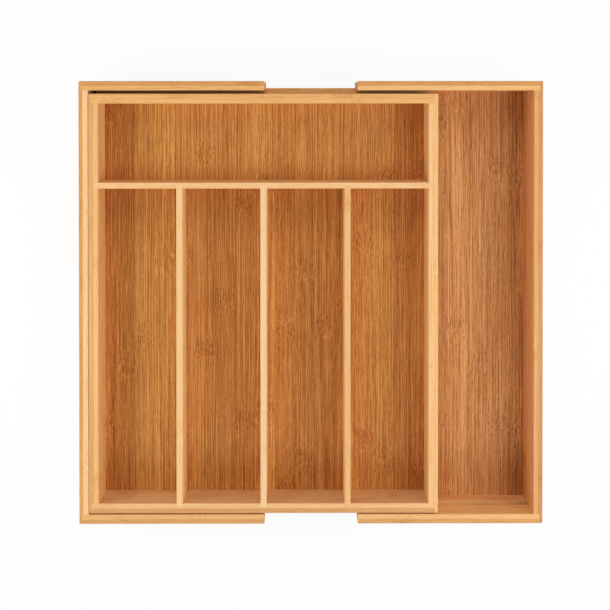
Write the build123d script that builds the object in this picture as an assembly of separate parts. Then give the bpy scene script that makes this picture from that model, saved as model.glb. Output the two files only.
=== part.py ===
from build123d import *
import os

# Expanding cutlery tray in laminated bamboo. A shallow box with five compartments is
# carried between two wings. Each wing is an end board, two arms and a floor panel, and
# slides out sideways, which opens one more compartment beside the box.
# X runs the way the wings slide, Y from the front to the back, Z up. The tray stands on
# Z = 0, with its left wing pushed home and its right wing pulled out to its stop.

# Wings
wing_depth = 430.0          # outside depth of the tray, over both arms
tray_height = 56.0          # table to the rims of the box and the wings
wing_board = 9.0            # thickness of the end boards and arms
arm_length = 179.7          # end board's outer face to the arm's free end
wing_floor_lift = 2.0       # table to the underside of a wing's floor
wing_floor_thick = 4.0
wing_floor_seat = 3.5       # depth of the floor's grooves in the boards

# Box
box_width = 339.0
box_board = 9.5
box_clear_under = 2.0       # wing floor to the lower edges of the box
box_panel_thick = 5.0
box_panel_rise = 6.0        # lower edges of the box to the underside of its panel
box_panel_seat = 3.5        # depth of the panel's grooves in the walls
back_gap = 3.2              # the box sits at the front of its play between the arms
front_gap = 1.3
home_gap = 0.3              # end board to box when a wing is pushed home
extension_width = 92.7      # the same when a wing is pulled out to its stop

# Dividers
divider_thick = 6.0
divider_count = 3           # long dividers, in front of the cross divider
back_compartment_depth = 76.5
wall_housing = 3.5          # depth of the housings cut in the walls for divider ends
cross_housing = 3.0         # the same in the cross divider

# Slides
rail_height = 8.0
rail_rise = 15.0            # lower edges of the box to the underside of a rail
rail_proud = 6.0            # how far a rail stands out of its wall
rail_seat = 1.5             # how deep a rail is let into its wall
groove_depth = 5.5
groove_play_below = 0.3     # the box hangs on the lower faces of the grooves
groove_play_above = 0.7
cleat_width = 10.0
cleat_height = 6.0
cleat_play = 0.3            # stop cleat to box wall when a wing is pulled out
cleat_end_clear = 5.0       # each end of a cleat to the box's front or back wall

# Joints and edges
corner_lip = 3.0            # the end boards and side walls lap the boards beside them
corner_radius = 1.5         # upright outer corners
arm_tip_radius = 0.8        # upright edges of an arm's free end
rim_radius = 0.8            # rims of the walls and dividers
foot_radius = 0.5           # lower edges
strip_radius = 0.8          # free edges of the rails and cleats

# Places across the tray
wing_half_depth = wing_depth / 2
arm_inner_y = wing_half_depth - wing_board
rest_width = 2 * wing_board + home_gap + box_width + extension_width
left_end_x = -rest_width / 2
right_end_x = rest_width / 2
box_left_x = left_end_x + wing_board + home_gap
box_right_x = box_left_x + box_width
box_back_y = arm_inner_y - back_gap
box_front_y = front_gap - arm_inner_y
inner_left_x = box_left_x + box_board
inner_right_x = box_right_x - box_board
inner_back_y = box_back_y - box_board
inner_front_y = box_front_y + box_board
cross_back_y = inner_back_y - back_compartment_depth
cross_front_y = cross_back_y - divider_thick
compartment_pitch = (inner_right_x - inner_left_x + divider_thick) / (divider_count + 1)

# Heights
wing_floor_top = wing_floor_lift + wing_floor_thick
box_foot = wing_floor_top + box_clear_under
box_panel_foot = box_foot + box_panel_rise
box_panel_top = box_panel_foot + box_panel_thick
rail_foot = box_foot + rail_rise
rail_top = rail_foot + rail_height


def block(x_span, y_span, z_span):
    """A plain block between two X, two Y and two Z values."""
    size = [high - low for low, high in (x_span, y_span, z_span)]
    corner = Pos(x_span[0], y_span[0], z_span[0])
    return corner * Box(*size, align=(Align.MIN, Align.MIN, Align.MIN))


def rim_edges(shape):
    """Every edge of the flat face on top."""
    return shape.faces().sort_by(Axis.Z)[-1].edges()


def foot_edges(shape):
    """Every edge of the flat face underneath."""
    return shape.faces().sort_by(Axis.Z)[0].edges()


def upright_edges(shape):
    """The upright edges in groups from left to right, each sorted from front to back."""
    groups = shape.edges().filter_by(Axis.Z).group_by(Axis.X)
    return [group.sort_by(Axis.Y) for group in groups]


def long_divider_x(index):
    """The left face of one long divider, counted from 0 at the left."""
    return inner_left_x + (index + 1) * compartment_pitch - divider_thick


# Rough blocks of the box's pieces, as they meet in their joints
box_rise = (box_foot, tray_height)
divider_rise = (box_panel_top, tray_height)
board_ends_x = (box_left_x + corner_lip, box_right_x - corner_lip)

panel_block = block(
    (inner_left_x - box_panel_seat, inner_right_x + box_panel_seat),
    (inner_front_y - box_panel_seat, inner_back_y + box_panel_seat),
    (box_panel_foot, box_panel_top),
)
cross_block = block(
    (inner_left_x - wall_housing, inner_right_x + wall_housing),
    (cross_front_y, cross_back_y),
    divider_rise,
)
long_blocks = [
    block(
        (long_divider_x(index), long_divider_x(index) + divider_thick),
        (inner_front_y - wall_housing, cross_front_y + cross_housing),
        divider_rise,
    )
    for index in range(divider_count)
]
back_block = block(board_ends_x, (inner_back_y, box_back_y), box_rise)
front_block = block(board_ends_x, (box_front_y, inner_front_y), box_rise)


def panel_groove(y_span):
    """The groove for the box's panel, run out through both ends of a board."""
    return block(board_ends_x, y_span, (box_panel_foot, box_panel_top))


def finished_box():
    """The glued box as it comes off the sander: walls and dividers, every edge eased."""
    inside = block((inner_left_x, inner_right_x), (inner_front_y, inner_back_y), box_rise)
    shape = block((box_left_x, box_right_x), (box_front_y, box_back_y), box_rise) - inside
    shape += cross_block
    for divider in long_blocks:
        shape += divider
    uprights = upright_edges(shape)
    shape = fillet(uprights[0] + uprights[-1], corner_radius)
    shape = fillet(rim_edges(shape), rim_radius)
    return fillet(foot_edges(shape), foot_radius)


def rail(wall_y, outward):
    """A rail let into a box wall's outer face. outward is 1 at the back, -1 at the front."""
    y_span = sorted([wall_y - outward * rail_seat, wall_y + outward * rail_proud])
    shape = block(board_ends_x, y_span, (rail_foot, rail_top))
    free_face = shape.faces().sort_by(Axis.Y)[-1 if outward > 0 else 0]
    return fillet(free_face.edges(), strip_radius)


def box_pieces():
    whole = finished_box()
    rails = {"box_back_rail": rail(box_back_y, 1), "box_front_rail": rail(box_front_y, -1)}
    back_wall = (whole & back_block) - rails["box_back_rail"]
    back_wall -= panel_groove((inner_back_y, inner_back_y + box_panel_seat))
    front_wall = (whole & front_block) - rails["box_front_rail"] - long_blocks
    front_wall -= panel_groove((inner_front_y - box_panel_seat, inner_front_y))
    pieces = {"box_back_wall": back_wall, "box_front_wall": front_wall}
    sides = {
        "box_left_wall": (box_left_x, inner_left_x),
        "box_right_wall": (inner_right_x, box_right_x),
    }
    for name, x_span in sides.items():
        side = block(x_span, (box_front_y, box_back_y), box_rise)
        pieces[name] = (whole & side) - back_block - front_block - cross_block - panel_block
    pieces["box_bottom_panel"] = panel_block
    pieces["cross_divider"] = (whole & cross_block) - long_blocks
    for number, divider in enumerate(long_blocks, start=1):
        pieces[f"long_divider_{number}"] = whole & divider
    return pieces | rails


def finished_wing():
    """A glued wing without its floor, its end board's outer face at X = 0, reaching to +X."""
    rise = (0, tray_height)
    shape = block((0, arm_length), (-wing_half_depth, wing_half_depth), rise)
    shape -= block((wing_board, arm_length), (-arm_inner_y, arm_inner_y), rise)
    shape = fillet(upright_edges(shape)[0], corner_radius)
    shape = fillet(upright_edges(shape)[-1], arm_tip_radius)
    shape = fillet(rim_edges(shape), rim_radius)
    return fillet(foot_edges(shape), foot_radius)


def wing_pieces(side):
    """The five pieces of one wing, which reaches to +X from its end board."""
    whole = finished_wing()
    rise = (0, tray_height)
    stop_x = wing_board + extension_width + box_board + cleat_play
    cleat_half_length = (inner_back_y - inner_front_y) / 2 - cleat_end_clear
    cleat = block(
        (stop_x, stop_x + cleat_width),
        (-cleat_half_length, cleat_half_length),
        (wing_floor_top, wing_floor_top + cleat_height),
    )
    cleat = fillet(rim_edges(cleat), strip_radius)
    floor = block(
        (wing_board - wing_floor_seat, stop_x + cleat_width),
        (-arm_inner_y - wing_floor_seat, arm_inner_y + wing_floor_seat),
        (wing_floor_lift, wing_floor_top),
    )
    pieces = {}
    arms = []
    for place, outward in (("back", 1), ("front", -1)):
        inner = outward * arm_inner_y
        outer = outward * wing_half_depth
        arm = block((corner_lip, arm_length), sorted([inner, outer]), rise)
        arms.append(arm)
        slide_groove = block(
            (corner_lip, arm_length),
            sorted([inner, inner + outward * groove_depth]),
            (rail_foot - groove_play_below, rail_top + groove_play_above),
        )
        floor_groove = block(
            (corner_lip, arm_length),
            sorted([inner, inner + outward * wing_floor_seat]),
            (wing_floor_lift, wing_floor_top),
        )
        pieces[f"{side}_{place}_arm"] = (whole & arm) - slide_groove - floor_groove
    end_board = block((0, wing_board), (-wing_half_depth, wing_half_depth), rise)
    pieces[f"{side}_end_wall"] = (whole & end_board) - arms - floor
    pieces[f"{side}_floor"] = floor
    pieces[f"{side}_stop_cleat"] = cleat
    return pieces


# The left wing is placed as it was made. The right wing is its mirror image.
placed = box_pieces()
for name, shape in wing_pieces("left").items():
    placed[name] = Pos(left_end_x, 0, 0) * shape
for name, shape in wing_pieces("right").items():
    placed[name] = Pos(right_end_x, 0, 0) * mirror(shape, about=Plane.YZ)

os.makedirs("parts", exist_ok=True)
for name, shape in placed.items():
    export_step(shape, f"parts/{name}.step")
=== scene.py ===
"""An expanding bamboo cutlery tray, seen from above on a white table.

Every board is a node of the frame. This script gives each one its own cut of laminated bamboo, and adds
the table, the lamps and the camera. Lengths are in metres, in the frame's own axes, unless a name ends
in _mm.
"""
import math
from collections import namedtuple

import bpy
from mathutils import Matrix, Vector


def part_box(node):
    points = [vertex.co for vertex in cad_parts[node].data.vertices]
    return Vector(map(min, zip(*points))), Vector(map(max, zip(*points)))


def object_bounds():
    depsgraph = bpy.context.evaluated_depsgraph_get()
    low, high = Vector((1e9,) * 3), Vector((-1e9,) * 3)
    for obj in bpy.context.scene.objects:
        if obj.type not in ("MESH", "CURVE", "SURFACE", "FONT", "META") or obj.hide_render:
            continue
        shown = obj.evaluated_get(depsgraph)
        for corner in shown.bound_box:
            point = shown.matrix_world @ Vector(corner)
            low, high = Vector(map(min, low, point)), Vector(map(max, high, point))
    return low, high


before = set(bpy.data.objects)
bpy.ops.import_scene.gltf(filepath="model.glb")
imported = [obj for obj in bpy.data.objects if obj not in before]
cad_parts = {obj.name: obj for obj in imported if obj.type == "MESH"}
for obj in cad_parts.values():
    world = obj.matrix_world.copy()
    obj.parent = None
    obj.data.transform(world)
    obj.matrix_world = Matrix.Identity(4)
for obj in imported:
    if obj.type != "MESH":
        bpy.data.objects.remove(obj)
cad_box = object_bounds()

MM = 1000.0                       # metres to millimetres


class Wire:
    """A socket in a material's node tree. A sum on wires adds the Math nodes that do it."""

    def __init__(self, tree, socket=None):
        self.tree = tree
        self.socket = socket

    def node(self, kind, settings=None, inputs=None, output=0):
        """Adds a node, sets it up, then gives its inputs their values or links."""
        made = self.tree.nodes.new(kind)
        for name, value in (settings or {}).items():
            if name == "stops":
                place_stops(made.color_ramp, value)
            else:
                setattr(made, name, value)
        for key, value in (inputs or {}).items():
            if isinstance(value, Wire):
                self.tree.links.new(value.socket, made.inputs[key])
            else:
                made.inputs[key].default_value = value
        return Wire(self.tree, made.outputs[output] if made.outputs else None)

    def math(self, operation, *values):
        return self.node("ShaderNodeMath", {"operation": operation}, dict(enumerate(values)))

    def __add__(self, other):
        return self.math("ADD", self, other)

    def __sub__(self, other):
        return self.math("SUBTRACT", self, other)

    def __mul__(self, other):
        return self.math("MULTIPLY", self, other)

    def __truediv__(self, other):
        return self.math("DIVIDE", self, other)

    def __rsub__(self, other):
        return self.math("SUBTRACT", other, self)

    __radd__ = __add__
    __rmul__ = __mul__

    def floor(self):
        return self.math("FLOOR", self)

    def distance(self):
        return self.math("ABSOLUTE", self)

    def larger(self, other):
        return self.math("MAXIMUM", self, other)

    def fade(self, start, end):
        """1 up to start, 0 from end on, and a smooth step between them."""
        settings = {"interpolation_type": "SMOOTHSTEP"}
        levels = {"From Min": start, "From Max": end, "To Min": 1.0, "To Max": 0.0}
        return self.node("ShaderNodeMapRange", settings, {"Value": self, **levels})

    def chance(self, output=0):
        """A random number for each value of this wire. Output 1 is a colour made of three of them."""
        return self.node("ShaderNodeTexWhiteNoise", {"noise_dimensions": "1D"}, {"W": self}, output)

    def parts(self):
        """The three numbers that a colour is made of."""
        return [self.node("ShaderNodeSeparateColor", None, {0: self}, part) for part in range(3)]

    def stain(self, finish):
        """The colour of a finish: its dark fibres where this wire is 0, its palest wood where it is 1."""
        stops = list(zip((0.0, 0.5, 1.0), finish))
        return self.node("ShaderNodeValToRGB", {"stops": stops}, {0: self})

    def mix(self, first, second, blend="MIX"):
        """Blends two colours, with this wire as the factor."""
        settings = {"data_type": "RGBA", "blend_type": blend, "clamp_factor": True}
        return self.node("ShaderNodeMix", settings, {0: self, 6: first, 7: second}, 2)


def place_stops(ramp, stops):
    while len(ramp.elements) < len(stops):
        ramp.elements.new(0.5)
    for element, (place, colour) in zip(ramp.elements, stops):
        element.position = place
        element.color = colour


def srgb(*channels):
    """A colour as a paint chart gives it, 0 to 255, turned into the renderer's linear values."""
    shares = [channel / 255 for channel in channels]
    linear = [share / 12.92 if share <= 0.04045 else ((share + 0.055) / 1.055) ** 2.4 for share in shares]
    return (*linear, 1.0)


def new_tree(name):
    """An empty material and its first wire, which makes the nodes."""
    material = bpy.data.materials.new(name)
    material.use_nodes = True
    material.node_tree.nodes.clear()
    return material, Wire(material.node_tree)


# Bamboo. A board is glued up from strips side by side, in one or two plies.
PANEL_STRIP_MM = 20.0             # in the box's panel
WALL_STRIP_MM = 19.0
STRIP_MM = 21.0                   # everywhere else
GLUE_LINE_MM = 0.16
KNOT_SPACING_MM = 235.0           # between the growth rings along one strip
KNOT_REACH_MM = 23.0              # how far the fibres are disturbed to each side of a ring
SCAR_PLACE_MM = 4.0               # from a ring to the middle of the dark scar beside it
SCAR_REACH_MM = 13.0
RIM_ROUNDING_MM = (0.5, 1.3)      # below the rim, where an upright board's top turns into its faces

# Depths on the scale of a finish, from 0 for its dark fibres to 1 for its palest wood
TONE_SPREAD = 0.42                # between the darkest strip and the palest
SCAR_DEPTH = 0.19
PLY_LINE_DEPTH = 0.3
STRIP_LINE_DEPTH = 0.22

EDGE_CONTRAST = 0.5               # pale boards show less of their fibres than the panels do
FACE_CONTRAST = 0.4               # and their faces this much more than their rims

# Finishes, from the dark fibres to the pale wood between them
BLOND = (srgb(226, 170, 112), srgb(249, 206, 150), srgb(253, 222, 178))
PALE = (srgb(216, 155, 93), srgb(242, 192, 128), srgb(250, 213, 160))
STRAW = (srgb(208, 144, 80), srgb(239, 184, 115), srgb(249, 206, 145))
HONEY = (srgb(192, 127, 67), srgb(222, 164, 100), srgb(238, 190, 130))
TAN = (srgb(178, 116, 62), srgb(209, 150, 94), srgb(226, 176, 122))
AMBER = (srgb(182, 117, 61), srgb(223, 161, 98), srgb(237, 187, 128))
CARAMEL = (srgb(150, 86, 31), srgb(204, 136, 66), srgb(236, 179, 100))
CHESTNUT = (srgb(151, 91, 40), srgb(208, 143, 83), srgb(232, 180, 120))
RUDDY = srgb(241, 227, 225)       # what the reddest strips are multiplied by
PAINTED_FACE_SHADE = srgb(222, 228, 238)      # and the faces below a rim, as painted shade

OuterPly = namedtuple("OuterPly", "axis glue_line_mm outside finish")


def strips_across(across, strip_mm, seed):
    """The number of the strip, and the distance to its nearer edge. The strips are of uneven width."""
    even = across / strip_mm + seed * 0.37
    strip = even + (even * 2.1 + seed).math("SINE") * 0.13
    number = strip.floor()
    return number, strip_mm / 2 - (strip - number - 0.5).distance() * strip_mm


def growth_ring(along, slide, board_number):
    """How much of a knot there is, and how much of a scar.

    Every KNOT_SPACING_MM of a strip has one ring, at a place of its own.
    """
    ring = along / KNOT_SPACING_MM + slide
    number = ring.floor()
    luck = (board_number * 3.1 + number * 7.7).chance()
    from_ring = (ring - number - 0.3 - luck * 0.4) * KNOT_SPACING_MM
    knot = from_ring.distance().fade(3.0, KNOT_REACH_MM)
    scar = (from_ring - SCAR_PLACE_MM).distance().fade(2.0, SCAR_REACH_MM) * luck
    return knot, scar


def bamboo(name, grain, width, finish, seed, strip_mm=STRIP_MM, outer_ply=None, contrast=1.0, variety=1.0,
           knots=1.0, rim_mm=None, face_shade=0.0):
    """One board's material. grain and width are the axes that its strips run and lie side by side along.

    outer_ply is the second ply of a board that has one, and its outside, +1 or -1, tells on which side of the
    glue line it lies. contrast is that of the fibres, variety is how much the strips differ in tone, and
    knots is how strong the growth rings are. Below a rim at rim_mm the faces of an upright board show more
    of their fibres, and face_shade, 0 to 1, is how much painted shade darkens them below the rim.
    """
    material, start = new_tree(name)
    place = start.node("ShaderNodeTexCoord", output=3)
    axes = {axis: start.node("ShaderNodeSeparateXYZ", None, {0: place}, axis) * MM for axis in "XYZ"}
    depth = next(axis for axis in "XYZ" if axis not in (grain, width))
    along, across, through = axes[grain], axes[width], axes[depth]

    # Each strip has a tone, a redness and a slide along the board of its own
    strip_number, from_edge = strips_across(across, strip_mm, seed)
    board_number = strip_number + seed * 11.0
    if outer_ply:
        from_glue = (axes[outer_ply.axis] - outer_ply.glue_line_mm) * outer_ply.outside
        in_outer = from_glue.math("GREATER_THAN", from_glue, 0.0)
        board_number = board_number + in_outer * 37.0
    tone, slide, redness = board_number.chance(1).parts()
    knot, scar = (mark * knots for mark in growth_ring(along, slide, board_number))

    def noise(along_mm, across_mm, detail, roughness=0.5, shift=0.0, side=across):
        """Noise that is drawn out along the grain, with its feature sizes in millimetres."""
        spot = start.node("ShaderNodeCombineXYZ", None, {
            0: (along + slide * 700.0) / along_mm,
            1: side / across_mm + shift,
            2: through / across_mm + redness * 50.0,
        })
        return start.node("ShaderNodeTexNoise", {"noise_dimensions": "3D"},
                          {"Vector": spot, "Scale": 1.0, "Detail": detail, "Roughness": roughness})

    # Fibres run straight, and swirl only about a ring
    swirl = (noise(8.0, 5.0, 1.0, shift=9.0) - 0.5) * knot * 2.6
    bent = across + (noise(110.0, 16.0, 0.0) - 0.5) * 1.6 + swirl
    lines = noise(150.0, 0.6, 2.0, 0.75, side=bent)
    dashes = noise(17.0, 0.6, 1.0, 0.6, shift=2.0, side=bent)
    hatch = noise(4.4, 0.75, 1.0, shift=4.0, side=bent)
    fibres = ((lines - 0.5) * 2.6 * (1 - knot * 0.5) + (dashes - 0.5) * 1.1
              + (hatch - 0.5) * (0.6 + knot * 1.5))

    if rim_mm:
        on_face = 1 - (rim_mm - across).fade(*RIM_ROUNDING_MM)
        contrast = contrast + on_face * FACE_CONTRAST
    shade = 0.5 + fibres * contrast + (tone - 0.5) * TONE_SPREAD * variety - scar * SCAR_DEPTH
    if outer_ply:
        shade = shade - from_glue.distance().fade(0.0, GLUE_LINE_MM) * PLY_LINE_DEPTH
    shade = shade - from_edge.fade(0.0, GLUE_LINE_MM) * STRIP_LINE_DEPTH

    colour = shade.stain(finish)
    if outer_ply:
        colour = in_outer.mix(colour, shade.stain(outer_ply.finish))
    colour = (redness * contrast).mix(colour, RUDDY, "MULTIPLY")
    # Painted shade: below the rim the faces are multiplied towards a bluish shade colour, by each board's own
    # share
    if rim_mm:
        colour = (on_face * face_shade).mix(colour, PAINTED_FACE_SHADE, "MULTIPLY")

    relief = start.node("ShaderNodeBump", None,
                        {"Strength": 0.35, "Distance": 0.00012, "Height": dashes * 0.5 + lines * 0.5})
    surface = start.node("ShaderNodeBsdfPrincipled", None, {
        "Base Color": colour,
        "Roughness": 0.56 - (lines - 0.5) * 0.3,
        "Normal": relief,
        "IOR": 1.45,
        "Specular IOR Level": 0.2,
    })
    start.node("ShaderNodeOutputMaterial", None, {0: surface})
    return material


def dress(node, material):
    """Gives a node of the frame its material."""
    thing = bpy.data.objects[node]
    for slot in thing.material_slots:
        slot.material = material
    if not thing.material_slots:
        thing.data.materials.append(material)


# Walls and arms: the axes of their length and their thickness, the side that is outside, the outer ply's
# share of the thickness, the finishes of the plies, how much painted shade darkens the faces, and a seed
Wall = namedtuple("Wall", "length thickness outside outer_share inner outer face_shade seed")
WALLS = {
    "box_back_wall": Wall("X", "Y", 1, 0.5, STRAW, STRAW, 0.3, 1),
    "box_front_wall": Wall("X", "Y", -1, 0.5, PALE, TAN, 0.45, 2),
    "box_left_wall": Wall("Y", "X", -1, 0.5, STRAW, HONEY, 0.2, 3),
    "box_right_wall": Wall("Y", "X", 1, 0.5, PALE, PALE, 0.0, 385),
    "left_back_arm": Wall("X", "Y", 1, 0.5, STRAW, HONEY, 0.0, 5),
    "left_front_arm": Wall("X", "Y", -1, 0.5, PALE, HONEY, 0.0, 818),
    "left_end_wall": Wall("Y", "X", -1, 0.42, BLOND, HONEY, 0.1, 772),
    "right_back_arm": Wall("X", "Y", 1, 0.5, STRAW, HONEY, 0.0, 8),
    "right_front_arm": Wall("X", "Y", -1, 0.5, PALE, HONEY, 0.0, 922),
    "right_end_wall": Wall("Y", "X", 1, 0.5, AMBER, TAN, 0.0, 10),
}
# Dividers: the axis of their length, their finish and a seed
DIVIDERS = {
    "cross_divider": ("X", PALE, 21),
    "long_divider_1": ("Y", PALE, 22),
    "long_divider_2": ("Y", BLOND, 23),
    "long_divider_3": ("Y", PALE, 24),
}
# Painted shade on the dividers' faces below their rims
DIVIDER_PAINTED_SHADE = 0.15
RIM_MM = cad_box[1][2] * MM


def outer_ply_of(node, wall):
    low, high = (corner["XYZ".index(wall.thickness)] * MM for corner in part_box(node))
    outer_face, inner_face = (high, low) if wall.outside > 0 else (low, high)
    glue_line_mm = outer_face + (inner_face - outer_face) * wall.outer_share
    return OuterPly(wall.thickness, glue_line_mm, wall.outside, wall.outer)


def dress_boards():
    for node, wall in WALLS.items():
        dress(node, bamboo(f"bamboo_{node}", wall.length, "Z", wall.inner, wall.seed, WALL_STRIP_MM,
                           outer_ply_of(node, wall), EDGE_CONTRAST,
                           rim_mm=RIM_MM, face_shade=wall.face_shade))
    for node, (length, finish, seed) in DIVIDERS.items():
        dress(node, bamboo(f"bamboo_{node}", length, "Z", finish, seed, contrast=EDGE_CONTRAST,
                           rim_mm=RIM_MM, face_shade=DIVIDER_PAINTED_SHADE))
    panel = bamboo("bamboo_box_bottom_panel", "Y", "X", CARAMEL, 75, PANEL_STRIP_MM, variety=0.35,
                   knots=0.75)
    dress("box_bottom_panel", panel)
    for side, seed in (("left", 41), ("right", 3755)):
        dress(f"{side}_floor", bamboo(f"bamboo_{side}_floor", "Y", "X", CHESTNUT, seed, contrast=1.1,
                                      variety=0.9, knots=0.6))
        dress(f"{side}_stop_cleat", bamboo(f"bamboo_{side}_stop_cleat", "Y", "X", AMBER, seed + 5))
    for side, seed in (("back", 51), ("front", 52)):
        dress(f"box_{side}_rail", bamboo(f"bamboo_box_{side}_rail", "X", "Z", HONEY, seed))


# Light
WHITE = (1.0, 1.0, 1.0, 1.0)
WORLD_LEVEL = 0.165
SOFTBOXES = {                     # place, side and power in watts
    "left_softbox": ((-0.62, 0.0, 0.36), 0.35, 2.25),
    "right_softbox": ((0.50, 0.0, 0.70), 0.40, 2.05),
    "low_right_softbox": ((0.90, 0.0, 0.45), 0.50, 3.6),
    "back_softbox": ((0.0, 0.75, 0.60), 0.45, 2.2),
    "front_softbox": ((0.0, -0.75, 0.60), 0.45, 2.3),
}
TARGET = (0.0, 0.0, 0.02)

TABLE_SIDE = 40.0
TABLE_WHITE = (0.92, 0.92, 0.92, 1.0)
SHADOW_SHARE = 0.08               # how much of the table's own light and shade shows near the tray
SHADOW_FADE = (0.4, 1.4)          # distances from the tray's middle between which that gives way to white


def seen_directly(start):
    """1 on what the camera sees, straight or by way of a shiny or clear surface, and 0 on rays of light."""
    camera, mirrored, through = (start.node("ShaderNodeLightPath", output=kind) for kind in (0, 3, 6))
    return camera.larger(mirrored).larger(through)


def table_and_world():
    """A white table that keeps a faint shadow of the tray, and fades into a white world around it."""
    bpy.ops.object.select_all(action="DESELECT")
    bpy.ops.mesh.primitive_plane_add(size=TABLE_SIDE, location=(0, 0, 0))
    table = bpy.context.object
    table.name = "table"
    material, start = new_tree("white_table")
    paper = start.node("ShaderNodeBsdfDiffuse", None, {"Color": TABLE_WHITE})
    glow = start.node("ShaderNodeEmission", None, {"Color": WHITE, "Strength": 1.0})
    place = start.node("ShaderNodeTexCoord", output=3)
    from_tray = start.node("ShaderNodeVectorMath", {"operation": "LENGTH"}, {0: place}, 1)
    glow_share = seen_directly(start) * (1 - from_tray.fade(*SHADOW_FADE) * SHADOW_SHARE)
    mixed = start.node("ShaderNodeMixShader", None, {0: glow_share, 1: paper, 2: glow})
    start.node("ShaderNodeOutputMaterial", None, {0: mixed})
    table.data.materials.append(material)

    world = bpy.data.worlds.new("studio")
    bpy.context.scene.world = world
    world.use_nodes = True
    world.node_tree.nodes.clear()
    start = Wire(world.node_tree)
    light = start.node("ShaderNodeBackground", None, {0: WHITE, 1: WORLD_LEVEL})
    backdrop = start.node("ShaderNodeBackground", None, {0: WHITE, 1: 1.0})
    mixed = start.node("ShaderNodeMixShader", None, {0: seen_directly(start), 1: light, 2: backdrop})
    start.node("ShaderNodeOutputWorld", None, {0: mixed})


def softboxes():
    """Square lamps that face the tray, unseen by the camera."""
    for name, (place, side, power) in SOFTBOXES.items():
        lamp = bpy.data.lights.new(name, "AREA")
        lamp.size = side
        lamp.energy = power
        holder = bpy.data.objects.new(name, lamp)
        bpy.context.collection.objects.link(holder)
        holder.location = place
        holder.visible_camera = False
        aim = [goal - here for goal, here in zip(TARGET, place)]
        tilt = math.atan2(math.hypot(aim[0], aim[1]), -aim[2])
        heading = math.atan2(aim[1], aim[0]) - math.pi / 2
        holder.rotation_euler = (tilt, 0.0, heading)


CAMERA_PLACE = (-0.0095, 0.1853, 1.0562)
CAMERA_TURN_DEG = (-0.57, -0.21, -0.02)
SENSOR_MM = 36.0
LENS_MM = 61.0
LENS_SHIFT = (0.0, -0.30)         # keeps the tray square, though the camera stands towards its back


def camera():
    data = bpy.data.cameras.new("overhead")
    holder = bpy.data.objects.new("overhead", data)
    bpy.context.collection.objects.link(holder)
    holder.location = CAMERA_PLACE
    holder.rotation_euler = [math.radians(turn) for turn in CAMERA_TURN_DEG]
    data.sensor_width = SENSOR_MM
    data.lens = LENS_MM
    data.shift_x, data.shift_y = LENS_SHIFT
    bpy.context.scene.camera = holder


dress_boards()
table_and_world()
softboxes()
camera()
bpy.context.scene.view_settings.view_transform = "Standard"
